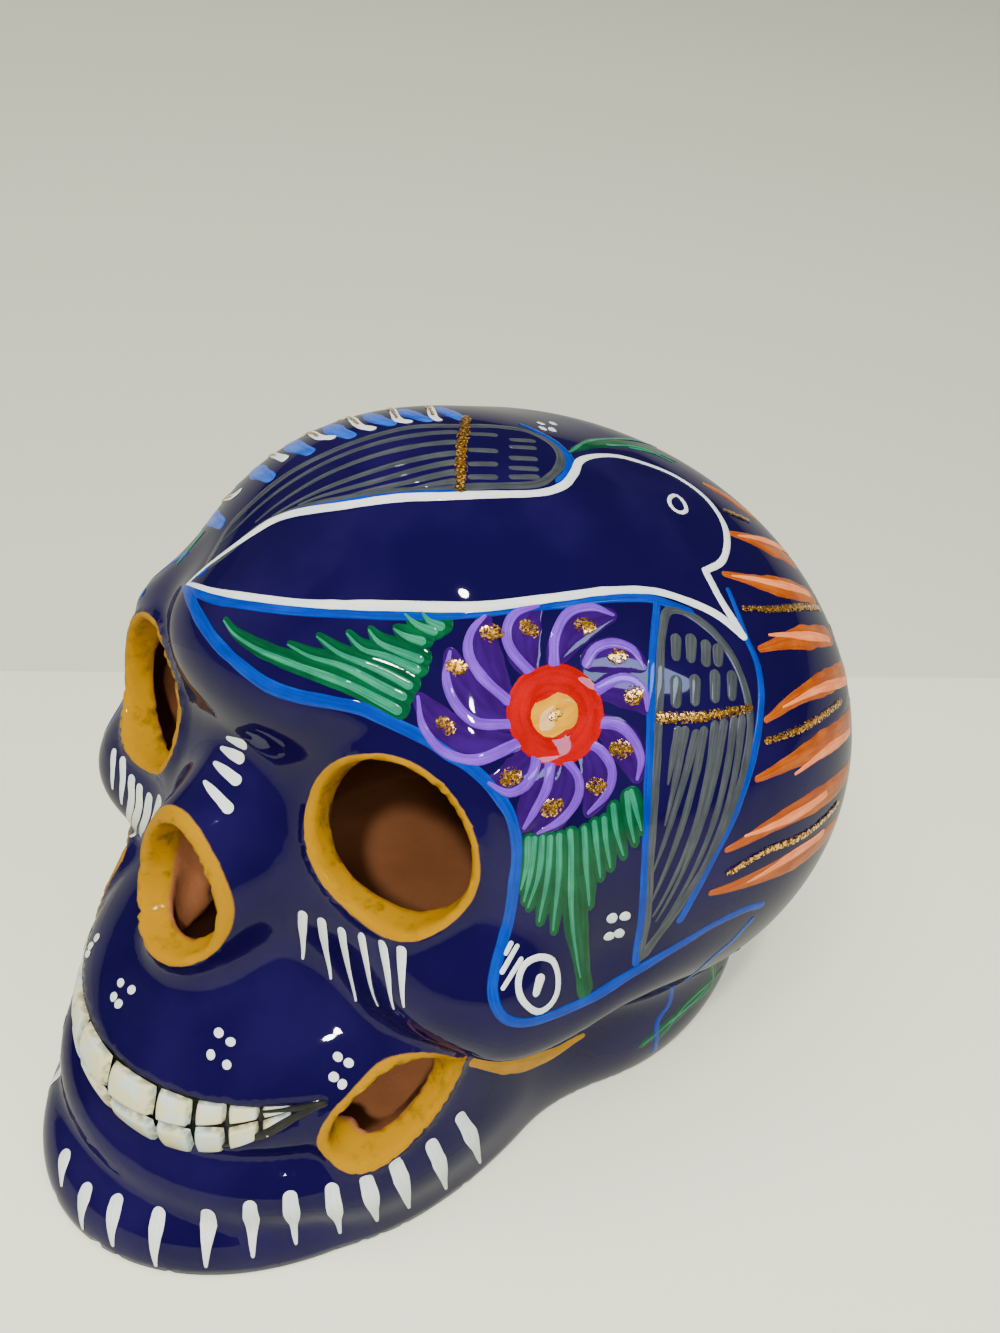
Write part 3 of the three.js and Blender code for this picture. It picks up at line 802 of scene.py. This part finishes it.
# The bird, its wings and the borders, as pixels of the photograph.
BIRD_BACK = [
    (188, 584), (213, 562), (256, 531), (285, 516), (342, 506), (400, 498), (457, 496), (529, 494),
    (561, 487), (574, 473), (580, 461), (597, 456), (620, 457), (648, 465), (676, 477), (703, 496),
    (721, 519), (727, 540), (722, 561), (705, 571),
]
BIRD_BELLY = [
    (188, 584), (213, 591), (256, 598), (313, 604), (400, 606), (446, 607), (492, 606), (561, 597),
    (607, 591), (652, 591), (687, 601), (717, 615), (743, 636),
]
BIRD_BEAK = [(743, 636), (721, 601), (705, 571)]
BIRD_EYE = [(677, 496), (684, 503), (686, 511), (679, 513), (671, 507), (669, 500), (672, 496)]
UNDER_BIRD = [
    (185, 586), (213, 598), (256, 606), (313, 612), (400, 616), (446, 616), (492, 612), (561, 604),
    (607, 598), (652, 599), (690, 612),
]
UPPER_WING = [
    (207, 568), (256, 529), (299, 509), (342, 499), (428, 490), (457, 488), (529, 485), (552, 475),
    (561, 460), (553, 445), (529, 432), (500, 427), (457, 426), (414, 427), (371, 437), (328, 453),
    (285, 476), (250, 505), (225, 533),
]
UPPER_WING_BLUE = [(200, 575), (230, 549), (270, 522), (299, 509), (342, 501), (400, 493), (457, 491)]
UPPER_WING_END = [(520, 424), (540, 433), (556, 443), (568, 456), (570, 470), (560, 482)]
UPPER_WING_STRIPES = [
    [(454, 432), (325, 463), (219, 545)], [(454, 442), (348, 465), (256, 522)],
    [(454, 453), (361, 475), (273, 516)], [(454, 462), (376, 481), (299, 505)],
    [(454, 472), (404, 483), (354, 494)], [(454, 481), (434, 484), (414, 488)],
]
UPPER_WING_DASHES = [
    [(471, 434), (494, 435)], [(471, 450), (494, 451)], [(471, 464), (494, 464)],
    [(471, 477), (494, 477)], [(512, 440), (532, 441)], [(512, 447), (533, 448)],
    [(512, 458), (534, 459)], [(512, 468), (535, 469)], [(512, 477), (536, 477)],
]
UPPER_WING_BAND = [(466, 418), (462, 447), (461, 467), (460, 489)]
LOWER_WING = [
    (668, 611), (685, 612), (715, 634), (738, 669), (750, 716), (745, 766), (723, 833), (685, 898),
    (653, 942), (640, 957), (646, 924), (650, 854), (656, 766), (660, 663), (663, 628),
]
LOWER_WING_STRIPES = [
    [(678, 731), (673, 757), (668, 784)], [(685, 731), (676, 778), (665, 825)],
    [(696, 734), (677, 803), (653, 872)], [(704, 731), (684, 819), (650, 904)],
    [(715, 725), (696, 824), (653, 916)], [(724, 723), (701, 825), (656, 921)],
    [(734, 720), (712, 827), (662, 924)], [(742, 719), (722, 824), (671, 918)],
]
LOWER_WING_DASHES = [
    [(676, 640), (676, 656)], [(691, 640), (691, 658)], [(706, 646), (706, 662)],
    [(718, 650), (718, 662)], [(676, 682), (676, 703)], [(695, 681), (695, 701)],
    [(715, 676), (715, 698)], [(732, 677), (732, 696)],
]
LOWER_WING_BAND = [(661, 718), (706, 716), (749, 708)]
WING_FRONT_BLUE = [
    (657, 602), (653, 649), (651, 707), (650, 754), (648, 795), (646, 854), (644, 898), (640, 935),
    (636, 962),
]
WING_BACK_BLUE = [
    (728, 590), (746, 637), (756, 660), (761, 687), (760, 716), (754, 754), (744, 789), (729, 827),
    (715, 854), (700, 883), (680, 920),
]
FACE_BORDER = [
    (188, 588), (200, 619), (216, 642), (242, 667), (267, 685), (293, 695), (328, 702), (362, 709),
    (388, 721), (414, 733), (430, 741), (447, 753), (467, 765), (486, 781), (502, 801), (512, 820),
    (517, 850), (514, 884), (509, 918), (500, 951), (493, 980), (494, 1001), (504, 1018), (524, 1023),
    (553, 1015), (597, 995), (641, 968), (685, 942), (715, 924), (744, 910), (761, 905),
]
BACK_ARC = [(654, 1051), (657, 1023), (671, 996), (700, 969), (734, 939), (752, 919)]
BACK_LEAF = [
    [(643, 1044), (671, 1021), (707, 987)], [(660, 1036), (690, 1000), (722, 968)],
    [(684, 1010), (713, 977), (740, 951)],
]

# Leaves: each stroke runs from its tip to where it starts at the flower.
LEFT_LEAF = [
    [(224, 621), (235, 635), (259, 650), (293, 664), (345, 683), (379, 700), (397, 710)],
    [(288, 645), (311, 657), (345, 667), (379, 685), (402, 696)],
    [(317, 637), (340, 654), (371, 666), (388, 674), (408, 685)],
    [(347, 634), (362, 649), (388, 657), (416, 669)], [(369, 630), (378, 642), (400, 652), (419, 659)],
    [(394, 629), (405, 636), (421, 641)], [(405, 614), (416, 624), (433, 631)],
    [(422, 612), (429, 621), (440, 626)],
]
LOWER_LEAF = [
    [(521, 889), (527, 864), (528, 839)], [(524, 901), (531, 870), (534, 839)],
    [(528, 907), (539, 873), (542, 838)], [(539, 921), (547, 880), (550, 838)],
    [(553, 930), (558, 883), (559, 836)], [(580, 977), (571, 905), (570, 832)],
    [(589, 905), (586, 867), (584, 829)], [(600, 877), (597, 850), (594, 823)],
    [(610, 867), (606, 843), (604, 819)], [(623, 855), (616, 831), (613, 806)],
    [(634, 842), (629, 818), (627, 794)], [(641, 830), (636, 811), (631, 792)],
]
LOWER_STEM = [(577, 883), (581, 942), (585, 989)]
BUD_RING = [
    (539, 957), (552, 960), (558, 977), (555, 998), (539, 1012), (523, 1001), (518, 984), (524, 965),
]
BUD_HEART = [(540, 979), (536, 993)]
BUD_TICKS = [[(517, 946), (502, 972)], [(521, 959), (503, 988)], [(511, 943), (506, 953)]]
TOP_LEAF = [(573, 450), (597, 443), (620, 443), (648, 449), (672, 460)]
TOP_LEAF_LIGHTS = [
    [(570, 452), (597, 440), (657, 446)], [(607, 445), (636, 447), (660, 455)],
    [(630, 448), (652, 453), (672, 462)],
]

# Crest ticks and the blue petal tips between them, over the far edge of the upper wing.
CREST_LIGHTS = [
    [(430, 407), (433, 416), (438, 420)], [(392, 409), (397, 419), (408, 422)],
    [(348, 416), (358, 425), (372, 429)], [(308, 432), (318, 437), (332, 438)],
    [(269, 452), (276, 456), (285, 459)], [(224, 500), (232, 497), (239, 492)],
]
CREST_BLUES = [
    [(440, 408), (450, 413), (462, 419)], [(402, 410), (413, 415), (428, 420)],
    [(366, 414), (376, 419), (391, 424)], [(326, 426), (337, 431), (351, 436)],
    [(286, 441), (296, 447), (310, 452)], [(250, 466), (258, 472), (271, 478)],
    [(204, 508), (211, 516), (222, 524)],
]
CREST_LEAF = [(178, 563), (190, 548), (204, 532)]

# The orange flower on the back, as far as it shows past the bird.
ORANGE_PETALS = [
    [(704, 484), (730, 499), (750, 514)], [(729, 533), (764, 545), (790, 561)],
    [(724, 574), (770, 585), (811, 597)], [(760, 649), (796, 639), (829, 636)],
    [(766, 720), (805, 693), (844, 669)], [(757, 779), (807, 753), (850, 717)],
    [(727, 850), (790, 815), (847, 771)], [(711, 893), (778, 868), (834, 824)],
]
SALMON_LIGHTS = [
    [(738, 536), (762, 540), (786, 552)], [(732, 576), (776, 584), (808, 594)],
    [(769, 635), (804, 636), (828, 639)], [(783, 707), (819, 689), (846, 680)],
    [(795, 774), (825, 751), (849, 731)], [(745, 836), (789, 818), (825, 794)],
    [(747, 882), (789, 857), (822, 833)],
]
GOLD_RAYS = [
    [(724, 511), (748, 521)], [(744, 609), (780, 609), (819, 609)], [(766, 741), (801, 728), (840, 701)],
    [(729, 872), (765, 851), (801, 836), (837, 803)],
]

# Small marks on the face, the same on both sides unless they lie on the nose.
EYE_TICKS = [
    [(303, 915), (303, 935), (303, 958)], [(322, 922), (326, 950), (331, 978)],
    [(342, 932), (348, 965), (356, 1000)], [(362, 938), (368, 970), (378, 1005)],
    [(383, 944), (388, 975), (394, 1008)], [(402, 950), (402, 980), (404, 1006)],
]
FAR_EYE_TICKS = [
    [(114, 753), (113, 770), (113, 788)], [(123, 761), (123, 780), (122, 803)],
    [(132, 779), (131, 805), (129, 830)], [(140, 788), (138, 812), (133, 837)],
    [(150, 797), (146, 818), (141, 836)], [(160, 799), (155, 818), (149, 835)],
]
NOSE_TICKS = [
    [(205, 782), (228, 808)], [(215, 763), (236, 780)], [(222, 748), (240, 758)],
    [(228, 738), (243, 744)],
]
DOT_CLUSTERS = [
    [(97, 938), (91, 946), (88, 954)], [(121, 983), (132, 990), (114, 997), (119, 1004)],
    [(219, 1033), (231, 1042), (211, 1055), (227, 1065)],
    [(338, 1057), (349, 1063), (334, 1077), (343, 1084)],
    [(541, 424), (553, 424), (543, 429), (552, 430)],
]
CHEEK_DOTS = [(612, 918), (625, 916), (609, 936), (619, 933)]
CHIN_TICKS = [
    [(65, 1155), (62, 1185)], [(87, 1188), (83, 1228)], [(117, 1200), (113, 1245)],
    [(159, 1213), (156, 1265)], [(208, 1213), (206, 1266)], [(250, 1206), (253, 1256)],
    [(290, 1196), (296, 1243)], [(332, 1188), (340, 1232)], [(366, 1178), (377, 1220)],
    [(394, 1160), (409, 1207)], [(431, 1144), (446, 1188)], [(460, 1117), (480, 1162)],
]
MOUTH_LINE = [(205, 1148), (240, 1143), (270, 1132), (292, 1119), (312, 1109), (326, 1103)]
MOUTH_CORNER = [(262, 1112), (285, 1110), (305, 1107), (324, 1102)]
ARCH_CRESCENT = [(472, 1062), (520, 1064), (552, 1054), (582, 1036)]
FLOWER_CENTRE = [(555, 715)]
PETAL_EDGES = [
    [(485, 616), (472, 630), (468, 652), (482, 677), (507, 700)],
    [(538, 606), (515, 613), (506, 633), (513, 653), (532, 674)],
    [(613, 615), (592, 607), (568, 613), (555, 637), (554, 663)],
    [(643, 667), (633, 650), (613, 643), (595, 649), (587, 663)],
    [(647, 710), (645, 692), (633, 680), (617, 679), (597, 690)],
    [(637, 779), (641, 760), (633, 739), (618, 725), (599, 723)],
    [(588, 813), (607, 793), (612, 770), (600, 750), (581, 740)],
    [(538, 833), (563, 818), (578, 797), (578, 777), (564, 758)],
    [(524, 828), (535, 810), (547, 787), (550, 762)],
    [(489, 783), (507, 793), (525, 786), (534, 770), (537, 753)],
    [(418, 697), (423, 727), (443, 751), (477, 760), (518, 743)],
    [(450, 652), (446, 677), (455, 703), (477, 723), (513, 724)],
]
PETAL_SPOTS = [
    (492, 633), (529, 629), (585, 626), (618, 657), (634, 695), (621, 749), (596, 786), (552, 807),
    (511, 777), (446, 726), (457, 667),
]


def paint_bird():
    white.stroke(BIRD_BACK, 0.6, 1.3, 1.5, 1.7, 1.5, 1.5, 1.1, 1.1, 1.3, 1.2)
    white.stroke(BIRD_BELLY, 0.6, 1.3, 1.4, 1.6, 1.5, 1.3, 1.3, 1.5)
    white.stroke(BIRD_BEAK, 1.4, 1.3)
    white.stroke(BIRD_EYE, 0.8, closed=True)
    blue.stroke(UNDER_BIRD, 2.2, 1.8, 1.6, 1.2, 1.2, 1.6, 1.3)
    blue.stroke(UPPER_WING_BLUE, 1.0, 1.2, 1.2, 0.8)
    blue.stroke(UPPER_WING_END, 0.8, 1.6, 2.0, 1.6)
    blue.stroke(WING_FRONT_BLUE, 1.3, 1.4, 1.5, 1.5)
    blue.stroke(WING_BACK_BLUE, 0.9, 1.4, 1.5, 1.4, 1.3)
    grey.stroke(UPPER_WING, 1.3, 1.5, 1.5, 1.4, closed=True)
    grey.stroke(LOWER_WING, 1.5, closed=True)
    grey.strokes(UPPER_WING_STRIPES + LOWER_WING_STRIPES, 1.5, 1.2, 0.9, 0.35)
    grey.strokes(UPPER_WING_DASHES, 1.1, 1.3)
    grey.strokes(LOWER_WING_DASHES, 2.1, 1.6)
    gold.stroke(UPPER_WING_BAND, 1.6, 2.0, 2.0, 1.8)
    gold.stroke(LOWER_WING_BAND, 2.0, 1.8, 1.3)


def on_flat(centre, distance, angle):
    """A place so many millimetres from a centre, at an angle counter-clockwise from its right."""
    outward = unit(gradient(bare_skin, centre[None])[0])
    across = unit(np.cross([0, 0, 1], outward))
    above = np.cross(outward, across)
    return centre + distance * (np.cos(np.radians(angle)) * across + np.sin(np.radians(angle)) * above)


PETAL_DEPTH = 0.55  # how far a petal's body lies from its edge, toward the line between the ends
HEART_RINGS = ((0.14, 0.3), (0.34, 0.36))  # radius and width of each, as shares of the size


def curled_petals():
    """The purple flower: a lilac stroke down each petal's outer edge, its body inside the curl."""
    for edge in PETAL_EDGES:
        edge = np.array(edge, float)
        chord = np.linspace(edge[0], edge[-1], len(edge))
        purple.stroke(edge + PETAL_DEPTH * (chord - edge), 1.4, 4.6, 5.6, 4.6, 2.0)
        lilac.stroke(edge, 0.5, 1.3, 1.5, 1.6, 1.7)
    for spot in PETAL_SPOTS:
        lean = np.array([CHANCE.uniform(4, 7), CHANCE.uniform(-3, 4)])
        gold.stroke([spot - lean, spot, spot + lean], 1.8, 2.9, 1.6)


def flower_heart(centre, size):
    """A round red middle with a yellow button and glitter on it."""
    for radius, width in HEART_RINGS:
        ring = [on_flat(centre, size * radius, angle) for angle in range(0, 360, 30)]
        red.stroke(ring, size * width, closed=True)
    yellow.dot(centre, size * 0.46)
    gold.dot(centre, size * 0.16)


def paint_flower():
    curled_petals()
    flower_heart(under_pixels(FLOWER_CENTRE)[0], 14)


def paint_leaves():
    for stroke in LEFT_LEAF:
        mint.stroke(stroke, 0.25, 0.7, 1.0, 1.3, 1.5)
        green.stroke(np.array(stroke) + (1.4, -2), 0.8, 2.6, 3.2, 3.6, 3.4)
    for stroke in LOWER_LEAF:
        mint.stroke(stroke, 0.3, 0.7, 1.0, 1.0, both=0)
        green.stroke(np.array(stroke) + (1.2, 2), 1.2, 2.8, 3.0, 2.4, both=0)
    green.stroke(LOWER_STEM, 3.0, 3.2, 3.4, both=0)
    white.stroke(BUD_RING, 1.0, closed=True, both=0)
    white.stroke(BUD_HEART, 1.6, 1.1, both=0)
    white.strokes(BUD_TICKS, 0.7, both=0)
    for dab in CHEEK_DOTS:
        white.dot(dab, 1.7, both=0)
    green.stroke(TOP_LEAF, 1.0, 3.0, 3.6, 3.0, 1.6)
    mint.strokes(TOP_LEAF_LIGHTS, 0.6, 0.7, 0.3)
    blue.stroke(BACK_ARC, 1.4, 1.4, 0.9, both=0)
    for stroke in BACK_LEAF:
        green.stroke(stroke, 2.2, 3.0, 1.0, both=0)
        mint.stroke(stroke, 0.3, 0.6, 0.3, both=0)


def paint_crest():
    for tick in CREST_LIGHTS:
        white.stroke(tick, 1.0, 1.4, 1.6)
        gold.stroke([(tick[0][0] - 3, tick[0][1]), tick[1]], 1.2, 0.6)
    sky.strokes(CREST_BLUES, 1.6, 3.4, 2.0)
    mint.stroke(CREST_LEAF, 0.6, 1.2, 0.6)


def paint_orange_flower():
    orange.strokes(ORANGE_PETALS, 1.0, 4.4, 3.4)
    salmon.strokes(SALMON_LIGHTS, 0.4, 2.0, 1.5)
    gold.strokes(GOLD_RAYS, 1.2, 1.5, 1.1)


# On the far side and the back, which the photograph hides, the painting goes on in the same way.
FAR_FLOWER = np.array([-58, 8, 88])
BACK_FLOWER = DOME + DOME_RADIUS * np.array([0.616, 0.788, 0])
LOWEST_PETAL = 12  # petals end this high above the table
FAR_BORDER = [(-33, -42, 93), (-39, -41, 88), (-44, -41, 81)]


def dome_path(centre, distances, angles):
    return [on_dome(centre, distance, angle) for distance, angle in zip(distances, angles)]


def ray_petals(centre, angles, inner, outer, paint, light, width):
    """Long petals standing like rays round a centre on the dome, each with a lighter stroke on it."""
    for k, angle in enumerate(angles):
        tip, swing = outer + CHANCE.uniform(-2, 2), angle + CHANCE.uniform(-1.5, 1.5)
        while on_dome(centre, tip, swing)[2] < LOWEST_PETAL:
            tip -= 1
        middle = (inner + tip) / 2
        body = dome_path(centre, (tip, middle, inner), [swing] * 3)
        shine = dome_path(centre, (tip - 3, middle, inner + 3), [swing - 2.2] * 3)
        paint.stroke(body, 0.25 * width, width, 0.8 * width)
        light.stroke(shine, 0.4, 0.42 * width, 0.3 * width)
        if k % 3 == 1:
            ray = dome_path(centre, (tip - 2, middle, inner + 2), [swing + 6] * 3)
            gold.stroke(ray, 1.1, 1.5, 1.2)


def leaf_fan(centre, angle, inner, outer):
    """A leaf of side-by-side strokes that leave one stem, between two distances from a centre."""
    for k in range(7):
        reach = outer - 1.6 * abs(k - 2)
        swing = angle + 3.2 * (k - 3)
        middle = (inner + reach) / 2
        rib = dome_path(centre, (reach, middle, inner), (swing + 7, swing + 2, swing))
        mint.stroke(rib, 0.3, 0.8, 1.1)
        ground = dome_path(centre, (reach - 1, middle, inner), (swing + 5, swing, swing - 2))
        green.stroke(ground, 1.2, 3.0, 2.6)


def paint_hidden_sides():
    ray_petals(FAR_FLOWER, range(-62, 298, 12), 17, 43, sky, white, 3.6)
    ring = [on_dome(FAR_FLOWER, 13, angle) for angle in range(0, 360, 24)]
    blue.stroke(ring, 2.2, closed=True)
    flower_heart(on_dome(FAR_FLOWER, 0, 0), 15)
    ray_petals(BACK_FLOWER, range(16, 200, 12), 38, 66, orange, salmon, 4.4)
    ray_petals(BACK_FLOWER, range(0, 360, 15), 15, 31, orange, salmon, 3.4)
    flower_heart(on_dome(BACK_FLOWER, 0, 0), 17)
    for angle in range(0, 260, 20):
        white.dot(on_dome(BACK_FLOWER, 34.5, angle + 7), 1.5)
    for angle in (150, 205):
        leaf_fan(FAR_FLOWER, angle, 48, 62)
    blue.stroke(FAR_BORDER, 1.2, 2.0, 1.8)


def paint_face():
    blue.stroke(FACE_BORDER, 2.2, 2.0, 2.0, 1.8, 1.7, 1.6, 1.6, 1.7, 1.7, 1.5, both=40)
    white.strokes(EYE_TICKS, 1.7, 1.5, 0.9, 0.4)
    white.strokes(FAR_EYE_TICKS, 1.7, 1.7, 1.3, 0.5)
    white.strokes(NOSE_TICKS, 0.6, 1.6, 1.9)
    for dab in sum(DOT_CLUSTERS, []):
        white.dot(dab, 1.45)
    white.strokes(CHIN_TICKS, 2.0, 2.6, 1.4, 0.5, both=20)
    black.stroke(MOUTH_LINE, 0.4, 1.0, 1.8, 1.6, 0.8, both=0)
    black.stroke(MOUTH_CORNER, 0.4, 0.7, 1.4, 0.8, both=0)
    ochre_brush.stroke(ARCH_CRESCENT, 1.5, 3.6, 3.0, 1.2, both=0)


# The table ends along the line between these two photograph pixels, where a pale sheet rises
# gently behind it, so the skull can be seen from behind too.
TABLE_EDGE = [(0, 671), (1000, 678)]
ROOM_REACH = 2600
SHEET_SLOPE = 15
LIT_CENTRE = np.array([0, -12, 50])
ROOM_AIR = dict(colour=(0.86, 0.86, 0.82, 1), strength=0.1)


def stage_sheet(name, corners, colour):
    """A flat sheet of the room through four places in millimetres."""
    work = bmesh.new()
    work.faces.new([work.verts.new(in_metres(corner)) for corner in corners])
    mesh = bpy.data.meshes.new(name)
    work.to_mesh(mesh)
    work.free()
    sheet = Shader(name, Roughness=0.6, Base_Color=colour)
    new_piece(name, mesh, sheet.material, smooth=False)


def make_room():
    edge = [CAMERA_PLACE - aim * CAMERA_PLACE[2] / aim[2] for aim in lines_of_sight(TABLE_EDGE)]
    middle, along = (edge[0] + edge[1]) / 2, unit(edge[1] - edge[0])
    left, right = middle - along * ROOM_REACH, middle + along * ROOM_REACH
    forward = np.array([along[1], -along[0], 0]) * ROOM_REACH
    stage_sheet("floor", [left, left + forward, right + forward, right], FLOOR_TONE)
    rise = np.array([0, 0, ROOM_REACH * np.tan(np.radians(SHEET_SLOPE))]) - forward
    # the backdrop's colour carries painted shade, darker than the floor
    stage_sheet("backdrop", [right, right + rise, left + rise, left], SHADED_SHEET_TONE)


def make_lights():
    """Soft light from above and in front, a small lamp, and dim patches the varnish mirrors."""
    world = bpy.data.worlds.new("room")
    world.use_nodes = True
    air = world.node_tree.nodes["Background"]
    air.inputs["Color"].default_value = ROOM_AIR["colour"]
    air.inputs["Strength"].default_value = ROOM_AIR["strength"]
    bpy.context.scene.world = world
    light("soft_overhead", far_off(20, 76, 3600), (4.0, 4.0), 192, mirrored=False)
    light("soft_front", far_off(10, 46, 2400), (0.8, 0.8), 30, mirrored=False)
    light("pale_room_side", far_off(-66, 36, 2200), (2.4, 1.6), 1.2)
    light("small_lamp", far_off(40, 60, 1800), (0.1, 0.1), 20)
    light("cool_window", far_off(96, 38, 1500), (0.6, 0.16), 8, (0.5, 0.66, 1))
    beside_lens = CAMERA_PLACE - 9 * RIGHT + 8 * UP
    into_eye = EYE["at"] + 3 * (beside_lens - EYE["at"])
    light("lamp_beside_lens", into_eye, (0.02, 0.02), 3.2, mirrored=False)


def far_off(azimuth, elevation, distance):
    """A place in millimetres, at a direction in degrees from the middle of the skull."""
    return LIT_CENTRE + direction(azimuth, elevation) * distance


def light(name, place, size, watts, colour=(1, 1, 1), mirrored=True):
    """A soft oval light facing the skull; its width and height are in metres."""
    data = bpy.data.lights.new(name, "AREA")
    data.shape = "ELLIPSE"
    data.size, data.size_y = size
    data.energy = watts
    data.color = colour
    lamp = bpy.data.objects.new(name, data)
    lamp.location = Vector(in_metres(place))
    lamp.rotation_euler = Vector(place - LIT_CENTRE).to_track_quat("Z", "Y").to_euler()
    lamp.visible_glossy = mirrored
    bpy.context.scene.collection.objects.link(lamp)


make_camera()
make_room()
make_lights()
make_shell()
make_teeth()
paint_bird()
paint_flower()
paint_leaves()
paint_crest()
paint_orange_flower()
paint_hidden_sides()
paint_face()
lay_coats()
